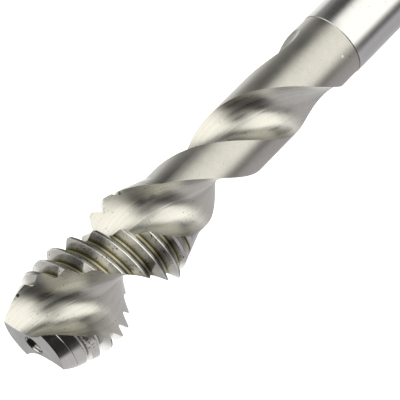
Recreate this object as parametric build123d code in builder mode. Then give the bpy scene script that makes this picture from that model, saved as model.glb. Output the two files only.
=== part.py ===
from build123d import *
import os
from math import cos, radians, sin, tan

# Two-flute spiral tap for blind holes, one solid of high-speed steel.
# Millimetres. It stands on the squared end of its shank, with the cutting tip at the top.

# Lengths along the axis
overall_length = 75.0
neck_end = 41.0             # from the tip face to the ground shank
square_length = 8.0

# Diameters
shank_d = 7.0
neck_d = 6.85
tip_d = 7.05                # small end of the cutting chamfer
square_across_flats = 5.5
square_corner_d = 6.6
centre_hole_d = 2.1
centre_hole_depth = 2.4

# Thread M10, right-hand, with 60 degree flanks
thread_d = 10.0
pitch = 1.5
thread_depth = 0.92
root_flat = 0.19
first_groove = 1.27         # first groove centre below the tip face, at a cutting edge
chamfer_length = 4.15
full_thread_end = 13.7      # from the tip face
thread_fade_end = 18.2      # where the cone behind the thread meets the neck

# Flutes, right-hand helix
flute_lead = 25.6
core_d = 2.5
land_angle = 77.0           # from a cutting edge back to its heel
rake_set_back = 1.0         # degrees that the face falls back below its edge
flute_full_end = 32.0       # from the tip face, where the grinding wheel starts to lift
flute_end = 39.3
lag_per_mm = 13.5           # degrees that the leaving wheel lags for each millimetre of lift

# Small edges
shank_chamfer = 0.5
step_taper = 0.55           # length of the slight taper from the neck up to the shank

# Derived sizes
tip_z = overall_length
thread_r = thread_d / 2
root_r = thread_r - thread_depth
neck_r = neck_d / 2
shank_r = shank_d / 2
core_r = core_d / 2
flute_angle = 180.0 - land_angle
flank = radians(30.0)
drill_point = radians(118.0)
outside = thread_r + 1.2


def polar(radius, degrees):
    return (radius * cos(radians(degrees)), radius * sin(radians(degrees)))


# Thread groove: one long helix that leaves the steel on the cone behind the thread
groove_turns = int(thread_fade_end / pitch) + 2
groove_top = tip_z - first_groove + 2 * pitch
lip = 0.1                   # how far the groove's section stands out past the crest
groove_depth = thread_depth + lip
half_root = root_flat / 2
half_mouth = half_root + groove_depth * tan(flank)
with BuildPart() as groove:
    with BuildLine() as groove_path:
        Helix(
            pitch=pitch,
            height=groove_turns * pitch,
            radius=root_r,
            center=(0, 0, groove_top - groove_turns * pitch),
        )
    with BuildSketch(Plane(origin=groove_path.line @ 0, x_dir=(1, 0, 0), z_dir=groove_path.line % 0)):
        Polygon(
            (0, -half_root),
            (groove_depth, -half_mouth),
            (groove_depth, half_mouth),
            (0, half_root),
            align=None,
        )
    sweep(is_frenet=True)

# Threaded bar, longer than the tool
with BuildPart() as threaded_bar:
    Cylinder(thread_r, tip_z + 4 * pitch, align=(Align.CENTER, Align.CENTER, Align.MIN))
    add(groove.part, mode=Mode.SUBTRACT)

# Turned outline of the whole tool, kept where the threaded bar has steel
with BuildPart() as tap:
    with BuildSketch(Plane.XZ):
        with BuildLine():
            Polyline(
                (0, 0),
                (shank_r - shank_chamfer, 0),
                (shank_r, shank_chamfer),
                (shank_r, tip_z - neck_end - step_taper),
                (neck_r, tip_z - neck_end),
                (neck_r, tip_z - thread_fade_end),
                (thread_r, tip_z - full_thread_end),
                (thread_r, tip_z - chamfer_length),
                (tip_d / 2, tip_z),
                (0, tip_z),
                close=True,
            )
        make_face()
    revolve(axis=Axis.Z)
    add(threaded_bar.part, mode=Mode.INTERSECT)

# Flute section, measured from its cutting edge: heel wall, rounded floor at the core, hooked face
floor_angle = 0.455 * flute_angle
flute_wall = [
    polar(outside, flute_angle),
    polar(0.69 * thread_r, flute_angle + rake_set_back),
    polar(1.14 * core_r, 0.71 * flute_angle),
    polar(core_r, floor_angle),
    polar(1.18 * core_r, 0.21 * flute_angle),
    polar(2.22 * core_r, -0.5 * rake_set_back),
    polar(outside, 0),
]
flute_cap = [polar(2 * thread_r, 0.2 * flute_angle), polar(2 * thread_r, 0.8 * flute_angle)]

# Stations of the flute: distance below the tip face, and how far the grinding wheel has lifted
above_tip = 1.0
even_steps = 15
lift_steps = 6
flute_depth = neck_r - core_r
stations = []
for step in range(even_steps + 1):
    stations.append((-above_tip + (flute_full_end + above_tip) * step / even_steps, 0.0))
for step in range(1, lift_steps + 1):
    share = step / lift_steps
    lift = 1.02 * flute_depth * share * (0.18 + 0.82 * share)
    stations.append((flute_full_end + (flute_end - flute_full_end) * share, lift))

with BuildPart() as flute:
    for below, lift in stations:
        turn = lag_per_mm * lift - 360 * below / flute_lead
        dx, dy = polar(lift, floor_angle)
        wall = [(x + dx, y + dy) for x, y in flute_wall]
        cap = [(x + dx, y + dy) for x, y in flute_cap]
        with BuildSketch(Plane.XY.offset(tip_z - below).rotated((0, 0, turn))):
            with BuildLine():
                Spline(*wall)
                Polyline(wall[-1], *cap, wall[0])
            make_face()
    loft()

# Steel milled away round the squared end
with BuildPart() as drive_flats:
    with BuildSketch(Plane.XY):
        Circle(shank_d)
    extrude(amount=square_length)
    with BuildSketch(Plane.XY):
        Rectangle(square_across_flats, square_across_flats)
        Circle(square_corner_d / 2, mode=Mode.INTERSECT)
    extrude(amount=square_length, mode=Mode.SUBTRACT)

# Centre hole of the tip face: a drilled bore with a pointed end
with BuildPart() as centre_hole:
    with BuildSketch(Plane.XZ):
        with BuildLine():
            Polyline(
                (0, tip_z),
                (centre_hole_d / 2, tip_z),
                (centre_hole_d / 2, tip_z - centre_hole_depth),
                (0, tip_z - centre_hole_depth - centre_hole_d / 2 / tan(drill_point / 2)),
                close=True,
            )
        make_face()
    revolve(axis=Axis.Z)

with tap:
    for side in (0, 180):
        add(flute.part.rotate(Axis.Z, side), mode=Mode.SUBTRACT)
    add(drive_flats.part, mode=Mode.SUBTRACT)
    add(centre_hole.part, mode=Mode.SUBTRACT)

tap.part.label = "spiral_flute_tap"
os.makedirs("parts", exist_ok=True)
export_step(tap.part, "parts/spiral_flute_tap.step")
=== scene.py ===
"""Spiral flute tap: the finished tool over its solid model, with the small studio that it stands in."""
import bpy
import numpy as np
from math import cos, degrees, pi, radians, sin, tan
from mathutils import Matrix, Vector


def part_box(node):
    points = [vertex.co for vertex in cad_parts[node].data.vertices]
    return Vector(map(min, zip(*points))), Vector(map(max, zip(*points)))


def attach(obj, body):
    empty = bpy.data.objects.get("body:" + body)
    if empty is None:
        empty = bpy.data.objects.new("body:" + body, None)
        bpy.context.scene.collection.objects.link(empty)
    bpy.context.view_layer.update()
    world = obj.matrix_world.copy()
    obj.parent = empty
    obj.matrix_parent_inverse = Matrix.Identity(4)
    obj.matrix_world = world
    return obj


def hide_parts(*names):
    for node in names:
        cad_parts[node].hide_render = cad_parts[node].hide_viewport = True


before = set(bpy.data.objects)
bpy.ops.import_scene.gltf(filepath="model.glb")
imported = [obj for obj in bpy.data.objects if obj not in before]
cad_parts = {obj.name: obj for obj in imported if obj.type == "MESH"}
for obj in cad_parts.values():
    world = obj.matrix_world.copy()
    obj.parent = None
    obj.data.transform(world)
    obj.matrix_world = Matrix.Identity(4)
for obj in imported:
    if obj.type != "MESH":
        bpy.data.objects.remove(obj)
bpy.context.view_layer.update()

bl_info = {
    "name": "Spiral flute tap",
    "version": (1, 0, 0),
    "blender": (4, 5, 0),
    "location": "3D View > Sidebar > Tap",
    "description": "Cuts a two-flute spiral tap from its sizes and lights it in a small studio",
    "category": "Object",
}

SOLID_NAME = "spiral_flute_tap"
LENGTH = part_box(SOLID_NAME)[1][2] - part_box(SOLID_NAME)[0][2]
MM = 0.001


# ---- Settings that a user may change ----

def float_prop(name, description, default, **more):
    return bpy.props.FloatProperty(name=name, description=description, default=default, **more)


def length_prop(name, description, default):
    return float_prop(name, description, default, min=0.0, precision=5, subtype="DISTANCE", unit="LENGTH")


def angle_prop(name, description, whole_degrees):
    return float_prop(name, description, radians(whole_degrees), subtype="ANGLE", unit="ROTATION")


def count_prop(name, description, default, least, most):
    return bpy.props.IntProperty(name=name, description=description, default=default, min=least, max=most)


def colour_prop(name, description, default):
    return bpy.props.FloatVectorProperty(
        name=name, description=description, default=default, size=3, min=0.0, max=1.0, subtype="COLOR",
    )


class TapSizes(bpy.types.PropertyGroup):
    """Sizes of the tap, in the same frame as the solid model."""
    overall_length: length_prop("Overall length", "From the squared end to the tip face", round(LENGTH, 4))
    neck_end: length_prop("Neck end", "From the tip face to the ground shank", 0.041)
    ring_height: length_prop("Ring height", "How far the fine ring stands above the neck", 0.00005)
    step_taper: length_prop("Step taper", "Length of the slight taper from neck up to shank", 0.00055)
    shank_diameter: length_prop("Shank diameter", "Diameter of the ground shank", 0.007)
    neck_diameter: length_prop("Neck diameter", "Diameter of the fluted neck", 0.00685)
    tip_diameter: length_prop("Tip diameter", "Small end of the cutting chamfer", 0.00705)
    shank_chamfer: length_prop("Shank chamfer", "Chamfer at the squared end", 0.0005)
    square_length: length_prop("Square length", "Length of the driving square", 0.008)
    across_flats: length_prop("Across flats", "Width of the driving square", 0.0055)
    across_corners: length_prop("Across corners", "Diameter over the square's rounded corners", 0.0066)
    hole_diameter: length_prop("Centre hole", "Diameter of the tip's centre hole", 0.0021)
    hole_depth: length_prop("Hole depth", "Depth of the hole's straight wall", 0.0024)
    hole_point: angle_prop("Drill point", "Full angle of the hole's pointed end", 118.0)
    thread_diameter: length_prop("Thread diameter", "Outer diameter of the thread", 0.010)
    pitch: length_prop("Pitch", "Rise of the thread in one turn", 0.0015)
    thread_depth: length_prop("Thread depth", "Depth of the thread groove", 0.00092)
    root_flat: length_prop("Root flat", "Width of the groove's floor", 0.00019)
    first_groove: length_prop("First groove", "From the tip face to the first groove at a cutting edge", 0.00127)
    chamfer_length: length_prop("Chamfer length", "Length of the tapered lead at the tip", 0.00415)
    full_thread_end: length_prop("Full thread end", "From the tip face to the last full thread", 0.0137)
    thread_fade_end: length_prop("Thread fade end", "Where the cone behind the thread meets the neck", 0.0182)
    flute_lead: length_prop("Flute lead", "Length in which a flute makes one turn", 0.0256)
    core_diameter: length_prop("Core diameter", "Steel left between the two flutes", 0.0025)
    land_angle: angle_prop("Land angle", "From a cutting edge back to its heel", 77.0)
    rake_set_back: angle_prop("Rake set back", "How far the face falls back below its edge", 1.0)
    flute_full_end: length_prop("Full flute end", "Where the grinding wheel starts to lift", 0.032)
    flute_end: length_prop("Flute end", "Where the grinding wheel has left the steel", 0.0393)
    wheel_lag: float_prop("Wheel lag", "Degrees that the leaving wheel lags for each millimetre of lift", 13.5)
    segments: count_prop("Segments", "Facets round the turned surfaces", 288, 32, 512)
    groove_segments: count_prop("Groove segments", "Facets in one turn of the thread", 180, 32, 360)
    flute_steps: count_prop("Flute steps", "Stations along each flute", 220, 32, 400)


class TapFinish(bpy.types.PropertyGroup):
    """Colours and polish of the ground steel."""
    shank_colour: colour_prop("Shank", "Colour of the polished shank", (0.56, 0.56, 0.55))
    neck_colour: colour_prop("Neck", "Colour of the fine-turned neck", (0.438, 0.425, 0.394))
    flute_colour: colour_prop("Flutes", "Colour of the ground flutes", (0.52, 0.51, 0.47))
    thread_colour: colour_prop("Thread", "Colour of the ground thread", (0.53, 0.521, 0.493))
    tip_colour: colour_prop("Tip face", "Colour of the faced tip", (0.34, 0.34, 0.337))
    residue_colour: colour_prop("Oil residue", "Colour of dried cutting oil in the grooves", (0.265, 0.24, 0.108))
    # This colour darkens real specks and dirt, and also paints shade on the thread's groove corners and
    # shank-facing flanks
    grime_colour: colour_prop("Grime", "Colour of specks and dirt", (0.05, 0.048, 0.045))
    # Sets worn edges and the painted highlight along edges, the thread's crest corners and the flute's crease
    wear_and_glint: float_prop("Wear", "How much the edges are rubbed bright", 0.5, min=0.0, max=1.0, subtype="FACTOR")


class StudioSettings(bpy.types.PropertyGroup):
    """Camera, light panels and floor."""
    camera_place: bpy.props.FloatVectorProperty(
        name="Camera place", description="Where the camera stands", default=(-0.192075, 0.01824, 0.131067),
        size=3, subtype="TRANSLATION", unit="LENGTH",
    )
    lens: float_prop("Lens", "Focal length in millimetres on a 36 mm sensor", 207.014, min=10.0)
    panel_light: float_prop("Panel light", "Brightness of the panels left and right of the camera", 1.9, min=0.0)
    floor_colour: colour_prop("Floor", "Colour of the pale floor", (0.86, 0.865, 0.87))


# ---- Helpers for node trees ----

def rgba(colour):
    return (*colour[:3], 1.0)


class Nodes:
    """Lays nodes in one tree. What a node is given is a plain value, or the socket that it is joined to."""

    def __init__(self, tree):
        self.tree = tree

    def put(self, kind, inputs=None, **settings):
        """Adds a node; its inputs are given by name or number."""
        node = self.tree.nodes.new(kind)
        for name, value in settings.items():
            setattr(node, name, value)
        for key, value in (inputs or {}).items():
            self.join(value, node.inputs[key])
        return node

    def get(self, kind, inputs=None, output=0, **settings):
        """Adds a node and returns one of its outputs."""
        return self.put(kind, inputs, **settings).outputs[output]

    def join(self, value, socket):
        """Gives an input a plain value, or joins one socket or a list of sockets to it."""
        if isinstance(value, bpy.types.NodeSocket):
            self.tree.links.new(value, socket)
        elif isinstance(value, list):
            for one in value:
                self.tree.links.new(one, socket)
        else:
            socket.default_value = value

    def place(self, group, inputs=None):
        """Places a node group and returns its outputs."""
        kind = self.tree.bl_idname.replace("Tree", "Group")
        return self.put(kind, inputs, node_tree=group.tree).outputs

    def calc(self, operation, *values):
        """Adds a math node and returns its result."""
        return self.get("ShaderNodeMath", dict(enumerate(values)), operation=operation)

    def plus(self, first, second):
        return self.calc("ADD", first, second)

    def minus(self, first, second):
        return self.calc("SUBTRACT", first, second)

    def times(self, first, second):
        return self.calc("MULTIPLY", first, second)

    def over(self, first, second):
        return self.calc("DIVIDE", first, second)

    def largest(self, first, *others):
        for other in others:
            first = self.calc("MAXIMUM", first, other)
        return first

    def off(self, value, middle):
        """How far a value lies from a middle one, either way."""
        return self.calc("ABSOLUTE", self.minus(value, middle))

    def ranged(self, value, low, high, start=0.0, end=1.0):
        """A smooth step from one value to another."""
        inputs = {"Value": value, "From Min": low, "From Max": high, "To Min": start, "To Max": end}
        return self.get("ShaderNodeMapRange", inputs, "Result", interpolation_type="SMOOTHSTEP")

    def vector_calc(self, operation, *values):
        """Adds a vector math node and returns its result."""
        output = "Value" if operation in ("DOT_PRODUCT", "LENGTH") else "Vector"
        return self.get("ShaderNodeVectorMath", dict(enumerate(values)), output, operation=operation)

    def vector(self, **parts):
        return self.get("ShaderNodeCombineXYZ", parts)

    def parts(self, vector):
        return self.put("ShaderNodeSeparateXYZ", {0: vector}).outputs

    def turned(self, vector, angle):
        """A vector turned about the tool's axis."""
        return self.get("ShaderNodeVectorRotate", {"Vector": vector, "Angle": angle}, rotation_type="Z_AXIS")

    def point(self):
        """The place on the object that is being shaded."""
        return self.get("ShaderNodeTexCoord", output="Object")

    def level(self, point):
        """A point's place across the tool, without its height."""
        return self.vector_calc("MULTIPLY", point, (1.0, 1.0, 0.0))

    def noise(self, point, scale, detail=2.0, roughness=0.5):
        inputs = {"Vector": point, "Scale": scale, "Detail": detail, "Roughness": roughness}
        return self.get("ShaderNodeTexNoise", inputs, "Fac")

    def mixed(self, share, first, second):
        """A colour, with a share of a second one laid over it."""
        if not isinstance(second, bpy.types.NodeSocket):
            second = rgba(second)
        inputs = {0: share, 6: first, 7: second}
        return self.get("ShaderNodeMix", inputs, 2, data_type="RGBA", blend_type="MIX")

    def toned(self, colour, lines, share):
        """A colour that follows a 0 to 1 value a little, lighter and darker."""
        factor = self.calc("MULTIPLY_ADD", self.minus(lines, 0.5), share, 1.0)
        first = colour if isinstance(colour, bpy.types.NodeSocket) else colour[:3]
        return self.get("ShaderNodeVectorMath", {0: first, "Scale": factor}, operation="SCALE")


class Group(Nodes):
    """A node group. Its inputs have names and defaults; one without a default takes geometry."""

    SOCKETS = {type(None): "Geometry", int: "Int", float: "Float", tuple: "Vector"}

    def __init__(self, name, inputs, outputs, kind="ShaderNodeTree"):
        super().__init__(bpy.data.node_groups.new(name, kind))
        new_socket = self.tree.interface.new_socket
        for label, value in inputs.items():
            kind_of_input = "NodeSocket" + self.SOCKETS[type(value)]
            socket = new_socket(label, in_out="INPUT", socket_type=kind_of_input)
            if value is not None:
                socket.default_value = value
        kind_of_output = "NodeSocketGeometry" if kind == "GeometryNodeTree" else "NodeSocketFloat"
        for label in outputs:
            new_socket(label, in_out="OUTPUT", socket_type=kind_of_output)
        self.given = self.tree.nodes.new("NodeGroupInput").outputs
        self.result = self.tree.nodes.new("NodeGroupOutput").inputs

    def give(self, **results):
        """Joins the group's outputs; in their names here, an underscore stands for a space."""
        for name, value in results.items():
            self.join(value, self.result[name.replace("_", " ")])
        return self


# ---- Shape: Geometry Nodes ----

FINISHES = ("shank", "neck", "thread", "tip_face", "flute", "centre_hole", "square")
DRAWN_LINES = ("blank", "groove", "flute", "hole")
SAME_POINT = 2e-7
CRISP_EDGE = radians(20)
ABOVE_TIP = 1.0 * MM
EARLY_LIFT = 0.18
HOLE_FACETS, BAR_FACETS, WASTE_FACETS = 96, 144, 64
WHEEL_PATH = {
    "Tip Height": 0.075, "Above Tip": ABOVE_TIP, "Flute Lead": 0.0256, "Full Depth End": 0.032,
    "Flute End": 0.0393, "Wheel Lift": 0.0022, "Floor Angle": 0.8, "Wheel Lag": 0.5,
}


def compared(g, value, operation, limit):
    """Compares whole numbers where the limit is a plain one, and measures otherwise."""
    kind, first = ("INT", 2) if isinstance(limit, int) else ("FLOAT", 0)
    return g.get("FunctionNodeCompare", {first: value, first + 1: limit}, data_type=kind, operation=operation)


def noted(g, name):
    """Reads a whole number that is noted on the mesh."""
    return g.get("GeometryNodeInputNamedAttribute", {"Name": name}, "Attribute", data_type="INT")


def merged(g, mesh):
    return g.get("GeometryNodeMergeByDistance", {"Geometry": mesh, "Distance": SAME_POINT})


def section_of(g, name):
    """Takes one of the named lines out of the drawing."""
    chosen = compared(g, noted(g, "section"), "EQUAL", DRAWN_LINES.index(name))
    inputs = {"Geometry": g.given["Drawing"], "Selection": chosen}
    return g.get("GeometryNodeSeparateGeometry", inputs)


def stations_of(g, closed):
    """A grid with all of the section's points at each station, each grid point's station, and its point in the
    section. At a closed sweep's first and last station that is always the section's first point."""
    section, steps = g.given["Section"], g.given["Steps"]
    count = g.get("GeometryNodeAttributeDomainSize", {0: section}, "Point Count", component="MESH")
    stations = g.plus(steps, 1.0)
    grid = g.get("GeometryNodeMeshGrid", {"Vertices X": stations, "Vertices Y": count}, "Mesh")
    index = g.get("GeometryNodeInputIndex")
    station = g.calc("FLOOR", g.over(g.plus(index, 0.5), count))
    row = g.minus(index, g.times(station, count))
    past = g.calc("GREATER_THAN", station, g.minus(steps, 0.5))
    at_end = g.largest(g.calc("LESS_THAN", station, 0.5), past)
    keep = g.minus(1.0, g.times(at_end, closed))
    position = g.get("GeometryNodeInputPosition")
    inputs = {"Geometry": section, "Value": position, "Index": g.times(row, keep)}
    point = g.get("GeometryNodeSampleIndex", inputs, "Value", data_type="FLOAT_VECTOR")
    return grid, station, point


def swept(g, grid, point, shift, turn):
    """Moves the grid's points to their place: the section's point, shifted, then turned about the tool's axis."""
    placed = g.turned(g.vector_calc("ADD", point, shift), turn)
    return merged(g, g.get("GeometryNodeSetPosition", {"Geometry": grid, "Position": placed}))


def turned_section_group():
    """A section swept round the tool's axis, with a steady rise where it follows a helix."""
    g = Group("Turned section", {
        "Section": None, "Steps": 64, "Step Angle": 0.1, "Step Rise": 0.0, "Start Height": 0.0,
        "Closed Ends": 0.0,
    }, ["Mesh"], "GeometryNodeTree")
    given = g.given
    grid, station, point = stations_of(g, given["Closed Ends"])
    rise = g.calc("MULTIPLY_ADD", station, given["Step Rise"], given["Start Height"])
    turn = g.times(station, given["Step Angle"])
    return g.give(Mesh=swept(g, grid, point, g.vector(Z=rise), turn))


def ground_flute_group():
    """One flute as the grinding wheel sweeps it: its section turns with the lead and lifts out at the end."""
    inputs = {"Section": None, "Steps": 160, "Start Angle": 0.0} | WHEEL_PATH
    g = Group("Ground flute", inputs, ["Mesh"], "GeometryNodeTree")
    given = g.given
    grid, station, point = stations_of(g, 1.0)
    travel = g.plus(given["Flute End"], given["Above Tip"])
    gone = g.over(g.times(travel, station), given["Steps"])
    below = g.minus(gone, given["Above Tip"])
    past = g.largest(g.minus(below, given["Full Depth End"]), 0.0)
    share = g.over(past, g.minus(given["Flute End"], given["Full Depth End"]))
    rise = g.times(share, g.calc("MULTIPLY_ADD", share, 1.0 - EARLY_LIFT, EARLY_LIFT))
    lift = g.times(rise, given["Wheel Lift"])
    helix = g.over(g.times(below, 2 * pi), given["Flute Lead"])
    lagged = g.minus(g.times(rise, given["Wheel Lag"]), helix)
    shift = g.vector(
        X=g.times(lift, g.calc("COSINE", given["Floor Angle"])),
        Y=g.times(lift, g.calc("SINE", given["Floor Angle"])),
        Z=g.minus(given["Tip Height"], below),
    )
    turn = g.plus(lagged, given["Start Angle"])
    return g.give(Mesh=swept(g, grid, point, shift, turn))


def finished(g, mesh, name, selection=True):
    """Notes on a mesh's faces which finish they get."""
    inputs = {"Geometry": mesh, "Selection": selection, "Name": "finish", "Value": FINISHES.index(name)}
    return g.get("GeometryNodeStoreNamedAttribute", inputs, data_type="INT", domain="FACE")


def combined(g, operation, first, second):
    """One boolean step between closed meshes."""
    inputs = {"Mesh 1": first, "Mesh 2": second}
    if operation == "INTERSECT":
        inputs = {"Mesh 2": [first, second]}
    return g.get("GeometryNodeMeshBoolean", inputs, operation=operation, solver="MANIFOLD")


def square_waste(g):
    """What is milled off at the squared end: all that lies round a bar with rounded corners."""
    given = g.given
    deep = g.times(given["Square Length"], 2.0)

    def rod(facets, radius, depth):
        inputs = {"Vertices": facets, "Radius": radius, "Depth": depth}
        return g.get("GeometryNodeMeshCylinder", inputs, "Mesh")

    bar = rod(BAR_FACETS, g.times(given["Across Corners"], 0.5), g.times(deep, 1.2))
    width = given["Across Flats"]
    size = g.vector(X=width, Y=width, Z=g.times(deep, 1.5))
    square = g.get("GeometryNodeMeshCube", {"Size": size}, "Mesh")
    around = rod(WASTE_FACETS, given["Across Corners"], deep)
    return combined(g, "DIFFERENCE", around, combined(g, "INTERSECT", bar, square))


def tap_tree(materials, sizes):
    """The tap: a turned blank, less its thread groove, two flutes, centre hole and the waste of its square."""
    g = Group("Spiral flute tap", {"Drawing": None} | sizes, ["Tap"], "GeometryNodeTree")
    given = g.given
    turned, flute = turned_section_group(), ground_flute_group()
    blank = g.place(turned, {
        "Section": section_of(g, "blank"), "Steps": given["Segments"],
        "Step Angle": g.over(2 * pi, given["Segments"]),
    })["Mesh"]
    groove = g.place(turned, {
        "Section": section_of(g, "groove"),
        "Steps": g.times(given["Groove Segments"], given["Groove Turns"]),
        "Step Angle": g.over(2 * pi, given["Groove Segments"]),
        "Step Rise": g.over(given["Pitch"], given["Groove Segments"]),
        "Start Height": given["Groove Start"], "Closed Ends": 1.0,
    })["Mesh"]
    flutes = [g.place(flute, {name: given[name] for name in WHEEL_PATH} | {
        "Section": section_of(g, "flute"), "Steps": given["Flute Steps"], "Start Angle": start,
    })["Mesh"] for start in (0.0, pi)]
    hole = g.place(turned, {
        "Section": section_of(g, "hole"), "Steps": HOLE_FACETS, "Step Angle": 2 * pi / HOLE_FACETS,
    })["Mesh"]

    height = g.parts(g.get("GeometryNodeInputPosition"))["Z"]
    just_below_tip = g.minus(given["Tip Height"], 0.01 * MM)
    tap = finished(g, blank, "shank")
    for name, start in (
        ("neck", given["Neck Height"]), ("thread", given["Thread Height"]), ("tip_face", just_below_tip),
    ):
        tap = finished(g, tap, name, compared(g, height, "GREATER_THAN", start))
    for cutter, name in (
        (groove, "thread"), (flutes[0], "flute"), (flutes[1], "flute"), (hole, "centre_hole"),
        (square_waste(g), "square"),
    ):
        tap = combined(g, "DIFFERENCE", tap, finished(g, cutter, name))

    # Crisp edges, and no face with more than four corners, so that every tool splits the faces alike
    inputs = {"Geometry": merged(g, tap), "Shade Smooth": True}
    tap = g.get("GeometryNodeSetShadeSmooth", inputs)
    crisp = compared(g, g.get("GeometryNodeInputMeshEdgeAngle"), "GREATER_THAN", CRISP_EDGE)
    inputs = {"Geometry": tap, "Selection": crisp, "Shade Smooth": False}
    tap = g.get("GeometryNodeSetShadeSmooth", inputs, domain="EDGE")
    corners = g.get("GeometryNodeInputMeshFaceNeighbors", output="Vertex Count")
    inputs = {"Mesh": tap, "Selection": compared(g, corners, "GREATER_THAN", 4)}
    tap = g.get("GeometryNodeTriangulate", inputs)
    tap = g.get("GeometryNodeRealizeInstances", {"Geometry": tap})
    finish = noted(g, "finish")
    for number, name in enumerate(FINISHES):
        chosen = compared(g, finish, "EQUAL", number)
        inputs = {"Geometry": tap, "Selection": chosen, "Material": materials[name]}
        tap = g.get("GeometryNodeSetMaterial", inputs)
    return g.give(Tap=tap)


# ---- Shape: the drawing that the tree works from ----

FLANK_ANGLE = radians(30)
POINTS_PER_SPAN = 14
FLOOR_MIDDLE = 0.455
WHEEL_CLEARANCE = 1.02
FEWEST_FACES = 5000


def polar(radius, angle):
    """A point at a radius and an angle in degrees."""
    return (radius * cos(radians(angle)), radius * sin(radians(angle)))


def smooth_line(points, per_span):
    """A cubic line through the points, with even curvature; its end slopes are those of a curve through four."""
    points = np.array(points)
    spans = np.linalg.norm(np.diff(points, axis=0), axis=1)
    at = np.concatenate(([0.0], np.cumsum(spans)))
    weights, bends = np.eye(len(points)), np.zeros(points.shape)
    bends[0] = np.polyfit(at[:4], points[:4], 3)[2]
    bends[-1] = np.polyfit(at[-4:] - at[-1], points[-4:], 3)[2]
    for i in range(1, len(points) - 1):
        before, after = spans[i - 1], spans[i]
        weights[i, i - 1:i + 2] = after, 2 * (before + after), before
        falls, climbs = points[i] - points[i - 1], points[i + 1] - points[i]
        bends[i] = 3 * (after * falls / before + before * climbs / after)
    slopes = np.linalg.solve(weights, bends)
    line = []
    for i, span in enumerate(spans):
        for u in np.arange(per_span) / per_span:
            start, end = 2 * u ** 3 - 3 * u ** 2 + 1, 3 * u ** 2 - 2 * u ** 3
            leave, arrive = (u ** 3 - 2 * u ** 2 + u) * span, (u ** 3 - u ** 2) * span
            line.append(start * points[i] + leave * slopes[i] + end * points[i + 1] + arrive * slopes[i + 1])
    return [tuple(point) for point in line + [points[-1]]]


def drawing_mesh(s):
    """The named lines: the blank's outline, and the sections of the thread groove, a flute and the centre hole."""
    tip = s.overall_length
    thread_r, neck_r, shank_r = s.thread_diameter / 2, s.neck_diameter / 2, s.shank_diameter / 2
    core_r, hole_r = s.core_diameter / 2, s.hole_diameter / 2
    root_r = thread_r - s.thread_depth
    ring = tip - s.neck_end
    blank = [
        (0, 0), (shank_r - s.shank_chamfer, 0), (shank_r, s.shank_chamfer),
        (shank_r, ring - s.step_taper - 0.2 * MM), (shank_r, ring - s.step_taper),
        (neck_r + s.ring_height, ring - 0.03 * MM), (neck_r - 0.02 * MM, ring + 0.03 * MM),
        (neck_r, ring + 0.15 * MM), (neck_r, ring + 0.3 * MM),
        (neck_r, tip - s.thread_fade_end), (thread_r, tip - s.full_thread_end),
        (thread_r, tip - s.chamfer_length), (s.tip_diameter / 2, tip), (0, tip),
    ]
    depth = s.thread_depth + 0.1 * MM
    half_root = s.root_flat / 2
    half_mouth = half_root + depth * tan(FLANK_ANGLE)
    mouth_r = root_r + depth
    groove = [
        (mouth_r, -half_mouth), (mouth_r, half_mouth), (root_r, half_root), (root_r, -half_root),
        (mouth_r, -half_mouth),
    ]
    opening = 180.0 - degrees(s.land_angle)
    back = degrees(s.rake_set_back)
    outside = thread_r + 1.2 * MM
    # The wheel's profile, from the heel over the core to the cutting edge, in shares of the radii and the opening
    wall = smooth_line([
        polar(outside, opening), polar(0.69 * thread_r, opening + back), polar(1.14 * core_r, 0.71 * opening),
        polar(core_r, FLOOR_MIDDLE * opening), polar(1.18 * core_r, 0.21 * opening),
        polar(2.22 * core_r, -0.5 * back), polar(outside, 0),
    ], POINTS_PER_SPAN)
    cap = [polar(2 * thread_r, 0.8 * opening), polar(2 * thread_r, 0.2 * opening)]
    flute = cap[:1] + wall + cap[1:] + cap[:1]
    hole = [
        (0, tip - s.hole_depth - hole_r / tan(s.hole_point / 2)), (hole_r, tip - s.hole_depth),
        (hole_r, tip + ABOVE_TIP), (0, tip + ABOVE_TIP),
    ]
    drawn = {"blank": blank, "groove": groove, "flute": flute, "hole": hole}
    places, edges, kinds = [], [], []
    for number, name in enumerate(DRAWN_LINES):
        first, line = len(places), drawn[name]
        places += [(one, two, 0) if name == "flute" else (one, 0, two) for one, two in line]
        edges += [(first + i, first + i + 1) for i in range(len(line) - 1)]
        kinds += [number] * len(line)
    mesh = bpy.data.meshes.new("tap_drawing")
    mesh.from_pydata(places, edges, [])
    mesh.attributes.new("section", "INT", "POINT").data.foreach_set("value", kinds)
    return mesh


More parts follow.
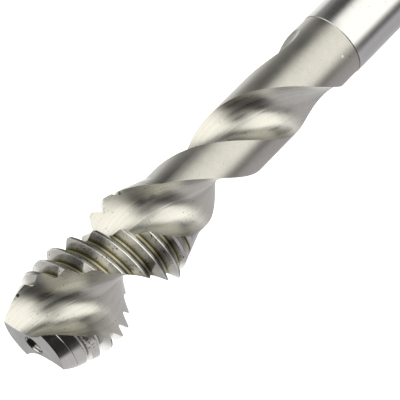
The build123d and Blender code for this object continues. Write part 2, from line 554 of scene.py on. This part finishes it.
def cut_tap(s, materials):
    """Runs the tree on the drawing and returns the tap as a plain mesh object."""
    scene = bpy.context.scene
    turns = int(s.thread_fade_end / s.pitch) + 2
    lift = WHEEL_CLEARANCE * (s.neck_diameter - s.core_diameter) / 2
    opening = pi - s.land_angle
    sizes = {
        "Segments": s.segments, "Groove Segments": s.groove_segments, "Groove Turns": turns, "Pitch": s.pitch,
        "Groove Start": s.overall_length - s.first_groove + (2 - turns) * s.pitch,
        "Tip Height": s.overall_length, "Above Tip": ABOVE_TIP, "Flute Steps": s.flute_steps,
        "Flute Lead": s.flute_lead, "Full Depth End": s.flute_full_end, "Flute End": s.flute_end,
        "Wheel Lift": lift, "Floor Angle": FLOOR_MIDDLE * opening, "Wheel Lag": radians(s.wheel_lag * lift / MM),
        "Square Length": s.square_length, "Across Flats": s.across_flats, "Across Corners": s.across_corners,
        "Neck Height": s.overall_length - s.neck_end - 0.005 * MM,
        "Thread Height": s.overall_length - s.thread_fade_end,
    }
    tree = tap_tree(materials, sizes).tree
    draft = bpy.data.objects.new("tap_draft", drawing_mesh(s))
    scene.collection.objects.link(draft)
    modifier = draft.modifiers.new("Cut the tap", "NODES")
    modifier.node_group = tree
    for item in tree.interface.items_tree:
        if item.in_out == "INPUT" and item.name in sizes:
            modifier[item.identifier] = sizes[item.name]
    shaped = draft.evaluated_get(bpy.context.evaluated_depsgraph_get())
    mesh = bpy.data.meshes.new_from_object(shaped)
    bpy.data.objects.remove(draft)
    mesh.name = "tap"
    if len(mesh.polygons) < FEWEST_FACES:
        raise RuntimeError("the tap's mesh came out empty or broken")
    return add_to_scene("tap", mesh)


# ---- Finish: effects that the materials share, as shader node groups ----

def grinding_lines_group():
    """Fine parallel lines. Twist winds them round the tool's axis; Scale gives lines per metre each way."""
    g = Group("Grinding lines", {
        "Twist": 0.0, "Scale": (1000.0, 1000.0, 1000.0), "Detail": 3.0,
    }, ["Lines", "Broad Lines"])
    point = g.point()
    unwound = g.turned(point, g.times(g.parts(point)["Z"], g.given["Twist"]))
    spread = g.vector_calc("MULTIPLY", unwound, g.given["Scale"])
    return g.give(
        Lines=g.noise(spread, 1.0, g.given["Detail"], 0.62),
        Broad_Lines=g.noise(spread, 0.22, 2.0, 0.5),
    )


def specks_group():
    """Small dark specks gathered in patches, and a slow cloudy unevenness."""
    g = Group("Specks", {
        "Scale": 4000.0, "Amount": 0.5, "Patch Scale": 400.0,
    }, ["Specks", "Cloud"])
    point = g.point()
    grains = g.noise(point, g.given["Scale"], 2.0, 0.55)
    patch = g.noise(point, g.given["Patch Scale"], 2.0, 0.5)
    level = g.minus(0.86, g.times(g.given["Amount"], patch))
    return g.give(Specks=g.ranged(g.minus(grains, level), 0.0, 0.07), Cloud=patch)


def land_edges_group(s):
    """Closeness to the two winding edges of a land, and how far across the flute a point lies."""
    g = Group("Land edges", {
        "Tip Height": s.overall_length, "Lead": s.flute_lead, "Land Angle": s.land_angle, "Width": 0.12 * MM,
        "End Height": s.overall_length - s.flute_full_end,
    }, ["Cutting Edge", "Heel", "Across Flute"])
    given = g.given
    point = g.point()
    parts = g.parts(point)
    below = g.minus(given["Tip Height"], parts["Z"])
    helix = g.over(g.times(below, 2 * pi), given["Lead"])
    around = g.plus(g.calc("ARCTAN2", parts["Y"], parts["X"]), helix)
    radius = g.vector_calc("LENGTH", g.level(point))
    fluted = g.ranged(g.minus(parts["Z"], given["End Height"]), -1.0 * MM, 1.0 * MM)

    def near(offset):
        turned = g.calc("WRAP", g.plus(around, offset), pi / 2, -pi / 2)
        away = g.times(g.calc("ABSOLUTE", turned), radius)
        return g.times(g.ranged(away, given["Width"], 0.0), fluted)

    across = g.calc("WRAP", around, pi - 0.6, -0.6)
    return g.give(
        Cutting_Edge=near(0.0), Heel=near(given["Land Angle"]),
        Across_Flute=g.ranged(across, 0.0, radians(103)),
    )


def old_mark_group():
    """A small nick or pit at a place on the surface, with a ragged outline."""
    g = Group("Old mark", {"Place": (0.0, 0.0, 0.0), "Size": 0.0002}, ["Mark"])
    point = g.point()
    away = g.vector_calc("LENGTH", g.vector_calc("SUBTRACT", point, g.given["Place"]))
    ragged = g.times(away, g.calc("MULTIPLY_ADD", g.noise(point, 9000.0), 1.2, 0.4))
    return g.give(Mark=g.ranged(g.over(ragged, g.given["Size"]), 1.1, 0.7))


def thread_places_group(s):
    """Where a point lies on the thread, and lines that follow it.

    Phase is 0 in the middle of the groove's floor and 0.5 or -0.5 in the middle of the crest. Below 0 lies the
    flank that faces the tip, above 0 the one that faces the shank.
    """
    thread_r = s.thread_diameter / 2
    g = Group("Thread places", {
        "Groove Height": s.overall_length - s.first_groove, "Pitch": s.pitch,
        "Root Radius": thread_r - s.thread_depth, "Thread Radius": thread_r, "Half Root": s.root_flat / 2,
        "Cone Top": s.overall_length - s.full_thread_end,
    }, ["Root", "Tip Facing Flank", "Shank Facing Flank", "Shank Facing Side", "Crest Corner", "Crest Back",
        "Floor Corner", "Back Cone", "Above Floor", "First Mark", "Near Tip", "Lines"])
    given, times, ranged = g.given, g.times, g.ranged
    point = g.point()
    parts = g.parts(point)
    radius = g.vector_calc("LENGTH", g.level(point))
    turns = g.over(g.calc("ARCTAN2", parts["Y"], parts["X"]), 2 * pi)
    rise = g.over(g.minus(parts["Z"], given["Groove Height"]), given["Pitch"])
    phase = g.calc("WRAP", g.minus(rise, turns), 0.5, -0.5)
    away = g.calc("ABSOLUTE", phase)
    depth = g.minus(radius, given["Root Radius"])

    near_tip = ranged(g.minus(given["Groove Height"], parts["Z"]), 4.2 * MM, 2.4 * MM)
    near_floor = times(ranged(depth, 0.62 * MM, 0.08 * MM), ranged(depth, -0.06 * MM, -0.02 * MM))
    oiled = times(near_floor, ranged(near_tip, 1.0, 0.0, 0.15, 1.0))
    floor_corner = ranged(g.off(away, 0.085), 0.05, 0.015)
    along = g.minus(times(away, given["Pitch"]), given["Half Root"])
    off_flank = g.off(depth, times(along, 1.0 / tan(FLANK_ANGLE)))
    flank = times(ranged(off_flank, 0.05 * MM, 0.02 * MM), ranged(away, 0.05, 0.07))
    full = ranged(g.minus(given["Thread Radius"], radius), 0.12 * MM, 0.04 * MM)
    crest_back = g.largest(ranged(phase, 0.405, 0.43), ranged(phase, -0.46, -0.48))
    cone = ranged(g.minus(given["Cone Top"], parts["Z"]), 0.0, 0.2 * MM)
    spread = g.vector(X=times(parts["X"], 260.0), Y=times(parts["Y"], 260.0), Z=times(phase, 22.0))
    return g.give(
        Root=times(ranged(away, 0.25, 0.09), oiled),
        Tip_Facing_Flank=times(flank, g.calc("LESS_THAN", phase, 0.0)),
        Shank_Facing_Flank=times(flank, g.calc("GREATER_THAN", phase, 0.0)),
        Shank_Facing_Side=ranged(phase, -0.10, -0.03),
        Crest_Corner=times(ranged(g.off(phase, -0.425), 0.035, 0.012), full),
        Crest_Back=times(crest_back, full),
        Floor_Corner=times(floor_corner, near_floor),
        Back_Cone=times(cone, g.minus(1.0, flank)),
        Above_Floor=ranged(depth, 0.0, 0.3 * MM, 0.1, 0.9),
        First_Mark=times(ranged(g.off(phase, -0.27), 0.05, 0.0), ranged(depth, 0.0, -0.1 * MM)),
        Near_Tip=near_tip,
        Lines=g.noise(spread, 1.0, 3.0, 0.6),
    )


# ---- Finish: one material for each surface of the tool ----

NECK_NICK = {"Place": (-0.00293, 0.00177, 0.03558), "Size": 0.00016}
TIP_PIT = {"Place": (-0.00094, -0.00399, 0.07299), "Size": 0.00018}
HEEL_CHIP = {"Place": (-0.00109, -0.00401, 0.05965), "Size": 0.00024}
# Colours for worn edges with a painted edge highlight, and for the painted highlight along the flute's crease
NECK_WEAR_AND_GLINT, FLUTE_CREASE_HIGHLIGHT, RUBBED_THREAD = (0.72, 0.71, 0.67), (0.80, 0.79, 0.75), (0.74, 0.73, 0.70)
# Painted light on the thread's flanks that face the tip, and the drilled wall's colour
TIP_FLANK_PAINTED_LIGHT, HOLE_WALL = (0.66, 0.65, 0.61), (0.92, 0.92, 0.89)
RING_MARK_SPACING = 0.28 * MM
# Directions across the tool's axis to the sides that are coloured darker
THREAD_DARK_SIDE, HOLE_DARK_SIDE = (-0.848, 0.530, 0.0), (0.90, -0.44, 0.0)


class Steel(Nodes):
    """A steel surface in the making: its material, and as tone its colour so far."""

    def __init__(self, name, colour, roughness, grime, effects):
        material = bpy.data.materials.new(name)
        material.use_nodes = True
        material.diffuse_color = rgba(colour)
        super().__init__(material.node_tree)
        self.material, self.tone, self.grime, self.effects = material, colour, grime, effects
        self.shader = self.tree.nodes["Principled BSDF"].inputs
        for label, value in (("Base Color", rgba(colour)), ("Metallic", 1.0), ("Roughness", roughness)):
            self.shader[label].default_value = value

    def effect(self, name, inputs):
        return self.place(self.effects[name], inputs)

    def vary(self, lines, share):
        """Lets the colour follow a 0 to 1 value a little."""
        self.tone = self.toned(self.tone, lines, share)

    def cover(self, share, colour):
        """Lays a share of another colour over the colour so far."""
        self.tone = self.mixed(share, self.tone, colour)

    # Darkens with the grime colour: real specks and dirt, and painted shade where a material asks for it
    def darken(self, share):
        self.cover(share, self.grime)

    def done(self, roughness, height, strength, distance):
        """Joins colour, roughness and bump to the shader, and returns the material."""
        inputs = {"Height": height, "Strength": strength, "Distance": distance}
        normal = self.get("ShaderNodeBump", inputs, "Normal")
        for label, value in (("Base Color", self.tone), ("Roughness", roughness), ("Normal", normal)):
            self.join(value, self.shader[label])
        return self.material


def polished_shank(steel, s, finish):
    """Polished, with faint rings left by the centreless grinder."""
    m = steel("polished_shank", finish.shank_colour, 0.13)
    rings = m.effect("lines", {"Scale": (300.0, 300.0, 16000.0)})
    cloud = m.effect("specks", {"Scale": 5000.0, "Amount": 0.40, "Patch Scale": 260.0})
    m.vary(rings["Lines"], 0.10)
    m.darken(m.times(cloud["Specks"], 0.35))
    return m.done(m.ranged(rings["Broad Lines"], 0.3, 0.7, 0.10, 0.17), rings["Lines"], 0.25, 2e-6)


def satin_neck(steel, s, finish):
    """Satin, with turning rings, worn edges with a painted highlight along them, and a nick."""
    m = steel("satin_neck", finish.neck_colour, 0.34)
    rings = m.effect("lines", {"Scale": (420.0, 420.0, 9000.0)})
    slant = m.effect("lines", {"Scale": (5200.0, 700.0, 3600.0), "Twist": 55.0})
    cloud = m.effect("specks", {"Scale": 6500.0, "Amount": 0.33, "Patch Scale": 330.0})
    edge = m.effect("edges", {"Width": 0.14 * MM})
    grain = m.noise(m.point(), 7000.0, 3.0, 0.7)
    m.vary(rings["Lines"], 0.12)
    m.vary(grain, 0.30)
    m.vary(m.noise(m.point(), 2200.0, 2.0, 0.6), 0.16)
    m.vary(cloud["Cloud"], 0.22)
    m.darken(m.times(cloud["Specks"], 0.5))
    # Worn edges with a painted edge highlight along them, and a nick
    worn_and_glinting = m.times(m.largest(edge["Cutting Edge"], edge["Heel"]), finish.wear_and_glint)
    m.cover(m.largest(worn_and_glinting, m.effect("marks", NECK_NICK)["Mark"]), NECK_WEAR_AND_GLINT)
    height = m.plus(m.times(rings["Lines"], 0.6), m.times(slant["Lines"], 0.5))
    height = m.plus(height, m.times(grain, 0.7))
    return m.done(m.ranged(cloud["Cloud"], 0.3, 0.7, 0.30, 0.38), height, 0.5, 6e-6)


def ground_flute(steel, s, finish):
    """Ground along the helix, with a brushed sheen, a painted highlight line along the crease near the heel, and
    painted light towards the cutting face.
    """
    m = steel("ground_flute", finish.flute_colour, 0.25)
    m.shader["Anisotropic"].default_value = 0.5
    m.shader["Anisotropic Rotation"].default_value = 0.07
    along = m.effect("lines", {"Scale": (9500.0, 9500.0, 190.0), "Twist": -2 * pi / s.flute_lead, "Detail": 4.0})
    cloud = m.effect("specks", {"Scale": 5200.0, "Amount": 0.37, "Patch Scale": 300.0})
    crease = m.effect("edges", {"Land Angle": radians(-72), "Width": 0.11 * MM})
    m.vary(along["Lines"], 0.42)
    m.vary(along["Broad Lines"], 0.22)
    # Painted light: the flute is coloured lighter towards its cutting face
    m.vary(m.ranged(crease["Across Flute"], 0.28, 0.02, 0.5, 1.0), 0.26)
    m.vary(m.noise(m.point(), 8000.0, 3.0, 0.7), 0.22)
    marks = [m.effect("marks", mark)["Mark"] for mark in (TIP_PIT, HEEL_CHIP)]
    m.darken(m.largest(m.times(cloud["Specks"], 0.6), *marks))
    # Painted highlight: a light line along the flute's crease near the heel
    m.cover(m.times(crease["Heel"], m.times(along["Lines"], finish.wear_and_glint)), FLUTE_CREASE_HIGHLIGHT)
    height = m.plus(along["Lines"], m.times(crease["Heel"], 1.5))
    return m.done(m.ranged(along["Broad Lines"], 0.3, 0.7, 0.26, 0.37), height, 0.5, 8e-6)


def ground_thread(steel, s, finish):
    """Ground bright, with specks, dried oil low in the grooves, painted light on the flanks that face the tip and
    painted shade on those that face the shank.
    """
    m = steel("ground_thread", finish.thread_colour, 0.22)
    place = m.place(thread_places_group(s))
    cloud = m.effect("specks", {"Scale": 4300.0, "Amount": 0.44, "Patch Scale": 520.0})
    edge = m.effect("edges", {"Width": 0.10 * MM})
    m.vary(place["Lines"], 0.34)
    # Painted light: the flanks that face the tip are coloured lighter
    m.cover(m.times(place["Tip Facing Flank"], 0.8), TIP_FLANK_PAINTED_LIGHT)
    patches = m.calc("MULTIPLY_ADD", m.ranged(cloud["Cloud"], 0.35, 0.6), 0.10, 0.05)
    # Painted shade: the flanks that face the shank and the shank-side half of each crest are darkened in patches;
    # the cone behind the thread is darkened too
    darker_parts = m.largest(place["Shank Facing Flank"], m.times(place["Crest Back"], 4.4))
    darker_parts = m.largest(darker_parts, m.times(place["Back Cone"], 1.6))
    m.darken(m.times(darker_parts, patches))
    m.cover(m.times(place["Root"], m.ranged(place["Lines"], 0.36, 0.62, 0.3, 1.1)), finish.residue_colour)
    # Painted shade in the corners of each groove's floor, and the faint first groove mark
    m.darken(m.largest(m.times(place["Floor Corner"], 0.3), m.times(place["First Mark"], 0.25)))

    # Darker over the flanks that face the shank, on one side of the tool and away from the tip
    around = m.vector_calc("DOT_PRODUCT", m.vector_calc("NORMALIZE", m.level(m.point())), THREAD_DARK_SIDE)
    darker_side = m.times(m.ranged(around, 0.82, 0.97, 0.0, 0.55), m.ranged(place["Near Tip"], 1.0, 0.0))
    m.darken(m.times(darker_side, place["Shank Facing Side"]))

    specks = m.times(cloud["Specks"], place["Above Floor"])
    m.darken(m.largest(m.effect("marks", HEEL_CHIP)["Mark"], specks))
    # Worn edges with a painted edge highlight, and a painted highlight along each crest corner
    worn_and_glinting = m.largest(edge["Cutting Edge"], edge["Heel"], place["Crest Corner"])
    m.cover(m.times(worn_and_glinting, finish.wear_and_glint), RUBBED_THREAD)
    rough = m.ranged(cloud["Cloud"], 0.35, 0.65, 0.14, 0.27)
    rough = m.times(rough, m.ranged(place["Near Tip"], 0.0, 1.0, 1.0, 0.6))
    height = m.minus(place["Lines"], cloud["Specks"])
    height = m.minus(height, m.times(place["First Mark"], 9.0))
    return m.done(rough, height, 0.4, 5e-6)


def faced_tip(steel, s, finish):
    """Matt, with facing rings."""
    m = steel("faced_tip", finish.tip_colour, 0.42)
    radius = m.vector_calc("LENGTH", m.level(m.point()))
    ring = m.noise(m.vector(X=radius), 9000.0, 3.0, 0.6)
    cloud = m.effect("specks", {"Scale": 5200.0, "Amount": 0.42, "Patch Scale": 600.0})
    m.vary(ring, 0.12)
    m.vary(cloud["Cloud"], 0.14)
    return m.done(m.ranged(cloud["Cloud"], 0.3, 0.7, 0.38, 0.48), ring, 0.4, 5e-6)


def drilled_hole(steel, s, finish):
    """Drilled bright, with ring marks, and darker on one side of its wall."""
    m = steel("drilled_hole", finish.tip_colour, 0.25)
    turn = m.times(m.parts(m.point())["Z"], 2 * pi / RING_MARK_SPACING)
    ring = m.calc("MULTIPLY_ADD", m.calc("SINE", turn), 0.5, 0.5)
    m.tone = HOLE_WALL
    m.vary(ring, 0.5)
    # Darker on one side of the hole's wall
    side = m.vector_calc("DOT_PRODUCT", m.point(), HOLE_DARK_SIDE)
    m.darken(m.ranged(side, 0.91 * MM, 0.99 * MM))
    return m.done(m.ranged(ring, 0.0, 1.0, 0.30, 0.50), ring, 1.0, 2.5e-5)


def milled_square(steel, s, finish):
    """Milled across."""
    m = steel("milled_square", finish.shank_colour, 0.28)
    across = m.effect("lines", {"Scale": (500.0, 500.0, 7500.0), "Detail": 4.0})
    cloud = m.effect("specks", {"Scale": 4200.0, "Amount": 0.45, "Patch Scale": 350.0})
    m.vary(across["Lines"], 0.25)
    m.darken(m.times(cloud["Specks"], 0.5))
    return m.done(m.ranged(across["Broad Lines"], 0.3, 0.7, 0.22, 0.34), across["Lines"], 0.4, 6e-6)


def make_finishes(s, finish):
    """One material for each finish of the tool, by the finish's name."""
    effects = {
        "lines": grinding_lines_group(), "specks": specks_group(), "edges": land_edges_group(s),
        "marks": old_mark_group(),
    }

    def steel(name, colour, roughness):
        return Steel(name, colour, roughness, finish.grime_colour, effects)

    makers = (polished_shank, satin_neck, ground_thread, faced_tip, ground_flute, drilled_hole, milled_square)
    return {name: make(steel, s, finish) for name, make in zip(FINISHES, makers)}


# ---- Studio ----

# The studio's own directions: to the picture's right, to its top, and out of it towards the camera
STUDIO_RIGHT = Vector((-0.19603, 0.73246, -0.65198))
STUDIO_UP = Vector((-0.32333, -0.67598, -0.6622))
STUDIO_OUT = Vector((-0.92576, 0.08099, 0.36934))

# What the polished steel mirrors: each panel has a light level, the softness of its edges, its tint,
# and its corners in degrees, across from the camera's line and up, going round anticlockwise from below left.
PANELS = (
    ("under_haze", 0.37, 12, (1.0, 0.98, 0.97), ((60, -44), (112, -50), (112, -10), (60, -8))),
    ("left_under", 0.54, 12, (1.0, 0.99, 0.95), ((-110, -80), (-40, -88), (-30, -66), (-90, -50))),
    ("right_under", 0.82, 8, (0.99, 0.97, 1.0), ((58, -68), (172, -60), (168, -12), (92, -20))),
    ("right_wall", 0.68, 9, (0.99, 0.965, 1.0), ((94, -22), (165, -16), (165, 44), (98, 50))),
    ("back_under", 0.55, 10, (1.0, 0.99, 0.95), ((-178, -78), (-112, -84), (-106, -52), (-172, -46))),
    ("left_back", 0.62, 11, (1.0, 0.99, 0.96), ((-132, -34), (-82, -38), (-84, 24), (-134, 26))),
    ("back_wall", 1.22, 13, (1.0, 1.0, 0.99), ((168, -40), (-125, -50), (-138, 46), (165, 46))),
    ("gap_haze", 0.77, 9, (1.0, 0.99, 0.93), ((-24, 20), (26, 20), (30, 56), (-28, 56))),
    ("left_panel", 1.0, 10, (1.0, 0.985, 0.93), ((-84, -34), (-18, -27), (-12, 39), (-86, 40))),
    ("right_panel", 1.0, 14, (1.0, 0.99, 0.94), ((27, -12), (70, -10), (118, 44), (-6, 66))),
)

# The haze over the tool: its light level, from straight below (0) to straight above (1)
HAZE = ((0.0, 0.05), (0.5, 0.02), (0.72, 0.10), (0.86, 0.50), (0.94, 0.34), (0.985, 0.12))
HAZE_TINT = (1.0, 0.985, 0.94)
WHITE = (1.0, 1.0, 1.0)
FLOOR_HALF_WIDTH = 1.5
FLOOR_GLOW = 0.55
LAMP_PLACE, LAMP_TARGET = Vector((-0.12, 0.10, 0.42)), Vector((0, 0, 0.03))


def studio_direction(across, up):
    """The direction that lies so many degrees across and up from the tool's line to the camera."""
    a, u = radians(across), radians(up)
    return cos(u) * sin(a) * STUDIO_RIGHT + sin(u) * STUDIO_UP + cos(u) * cos(a) * STUDIO_OUT


def soft_panel_group():
    """How much of a soft-edged, four-sided panel lies in a direction; each edge is a plane through the tool."""
    edges = {f"Edge {number}": (0.0, 0.0, 1.0) for number in (1, 2, 3, 4)}
    inputs = {"Direction": (0.0, 0.0, 1.0), "Softness": 0.15} | edges
    g = Group("Soft panel", inputs, ["Panel"])
    given = g.given
    outer = g.times(given["Softness"], -1.0)
    share = 1.0
    for edge in edges:
        inside = g.vector_calc("DOT_PRODUCT", given["Direction"], given[edge])
        share = g.times(share, g.ranged(inside, outer, given["Softness"]))
    return g.give(Panel=share)


def light_world(settings):
    """What lights the tool and is mirrored in it: haze overhead and soft panels. The camera sees plain white."""
    world = bpy.data.worlds.new("studio_light")
    world.use_nodes = True
    bpy.context.scene.world = world
    nodes = Nodes(world.node_tree)
    direction = nodes.get("ShaderNodeTexCoord", output="Generated")
    rise = nodes.vector_calc("DOT_PRODUCT", direction, STUDIO_UP)
    ramp = nodes.put("ShaderNodeValToRGB", {0: nodes.calc("MULTIPLY_ADD", rise, 0.5, 0.5)})
    stops = ramp.color_ramp.elements
    for place, level in HAZE:
        stops.new(place).color = rgba([level * part for part in HAZE_TINT])
    stops.remove(stops[-1])
    shade = ramp.outputs["Color"]
    panel = soft_panel_group()
    for name, level, softness, tint, corners in PANELS:
        if name in ("left_panel", "right_panel"):
            level *= settings.panel_light
        places = [studio_direction(*corner) for corner in corners]
        inputs = {"Direction": direction, "Softness": sin(radians(softness))}
        for number, (one, two) in enumerate(zip(places, places[1:] + places[:1])):
            inputs[f"Edge {number + 1}"] = one.cross(two).normalized()
        colour = [level * part for part in tint]
        shade = nodes.mixed(nodes.place(panel, inputs)["Panel"], shade, colour)
    seen = nodes.get("ShaderNodeLightPath", output="Is Camera Ray")
    nodes.join(nodes.mixed(seen, shade, WHITE), world.node_tree.nodes["Background"].inputs["Color"])


def floor_material(colour):
    """Pale floor that looks white, yet keeps the tool's shadow."""
    material = bpy.data.materials.new("pale_floor")
    material.use_nodes = True
    nodes = Nodes(material.node_tree)
    shader = nodes.tree.nodes["Principled BSDF"]
    tone = nodes.toned(colour, nodes.noise(nodes.point(), 40.0), 0.02)
    for label, value in (("Base Color", tone), ("Roughness", 0.6), ("Specular IOR Level", 0.1)):
        nodes.join(value, shader.inputs[label])
    seen = nodes.put("ShaderNodeLightPath").outputs
    lit = nodes.largest(seen["Is Camera Ray"], seen["Is Glossy Ray"], seen["Is Transmission Ray"])
    glow = nodes.get("ShaderNodeEmission", {"Color": rgba(WHITE), "Strength": nodes.times(lit, FLOOR_GLOW)})
    both = nodes.get("ShaderNodeAddShader", {0: shader.outputs[0], 1: glow})
    nodes.join(both, nodes.tree.nodes["Material Output"].inputs["Surface"])
    return material


def add_to_scene(name, data):
    thing = bpy.data.objects.new(name, data)
    bpy.context.scene.collection.objects.link(thing)
    return thing


def build_studio(settings):
    """Camera, floor, overhead lamp and world."""
    scene = bpy.context.scene
    camera = add_to_scene("camera", bpy.data.cameras.new("camera"))
    camera.matrix_world = (
        Matrix.Translation(Vector(settings.camera_place))
        @ Matrix((STUDIO_RIGHT, STUDIO_UP, STUDIO_OUT)).transposed().to_4x4()
    )
    camera.data.sensor_width = 36.0
    camera.data.lens = settings.lens
    camera.data.clip_start = 0.005
    scene.camera = camera

    half = FLOOR_HALF_WIDTH
    mesh = bpy.data.meshes.new("floor")
    mesh.from_pydata([(-half, -half, 0), (half, -half, 0), (half, half, 0), (-half, half, 0)], [], [(0, 1, 2, 3)])
    mesh.materials.append(floor_material(settings.floor_colour))
    floor = add_to_scene("floor", mesh)
    floor.visible_glossy = False

    lamp = add_to_scene("overhead", bpy.data.lights.new("overhead", "AREA"))
    lamp.data.shape = "DISK"
    lamp.data.size = 0.35
    lamp.data.energy = 1.2
    lamp.location = LAMP_PLACE
    lamp.rotation_euler = (LAMP_TARGET - LAMP_PLACE).to_track_quat("-Z", "Y").to_euler()
    lamp.visible_glossy = False
    light_world(settings)
    scene.view_settings.view_transform = "Standard"


# ---- Operators and panel ----

class OBJECT_OT_cut_spiral_tap(bpy.types.Operator):
    """Cut the tap from its sizes and give each of its surfaces its finish"""
    bl_idname = "object.cut_spiral_tap"
    bl_label = "Cut Spiral Tap"

    def execute(self, context):
        sizes = context.scene.tap_sizes
        tap = cut_tap(sizes, make_finishes(sizes, context.scene.tap_finish))
        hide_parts(SOLID_NAME)
        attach(tap, "root")
        return {"FINISHED"}


class SCENE_OT_build_tap_studio(bpy.types.Operator):
    """Set up the camera, the pale floor and the soft light panels"""
    bl_idname = "scene.build_tap_studio"
    bl_label = "Build Studio"

    def execute(self, context):
        build_studio(context.scene.tap_studio)
        return {"FINISHED"}


class VIEW3D_PT_spiral_tap(bpy.types.Panel):
    """Sizes, finish and studio of the tap"""
    bl_label = "Spiral Flute Tap"
    bl_space_type = "VIEW_3D"
    bl_region_type = "UI"
    bl_category = "Tap"

    def draw(self, context):
        scene = context.scene
        for title, settings, operator in (
            ("Sizes", scene.tap_sizes, "object.cut_spiral_tap"),
            ("Finish", scene.tap_finish, None),
            ("Studio", scene.tap_studio, "scene.build_tap_studio"),
        ):
            box = self.layout.box()
            box.label(text=title)
            for name in settings.__annotations__:
                box.prop(settings, name)
            if operator:
                box.operator(operator)


CLASSES = (
    TapSizes, TapFinish, StudioSettings, OBJECT_OT_cut_spiral_tap, SCENE_OT_build_tap_studio, VIEW3D_PT_spiral_tap,
)


def register():
    for cls in CLASSES:
        bpy.utils.register_class(cls)
    bpy.types.Scene.tap_sizes = bpy.props.PointerProperty(type=TapSizes)
    bpy.types.Scene.tap_finish = bpy.props.PointerProperty(type=TapFinish)
    bpy.types.Scene.tap_studio = bpy.props.PointerProperty(type=StudioSettings)


def unregister():
    del bpy.types.Scene.tap_studio
    del bpy.types.Scene.tap_finish
    del bpy.types.Scene.tap_sizes
    for cls in reversed(CLASSES):
        bpy.utils.unregister_class(cls)


def main():
    register()
    bpy.ops.object.cut_spiral_tap()
    bpy.ops.scene.build_tap_studio()


if __name__ == "__main__":
    main()
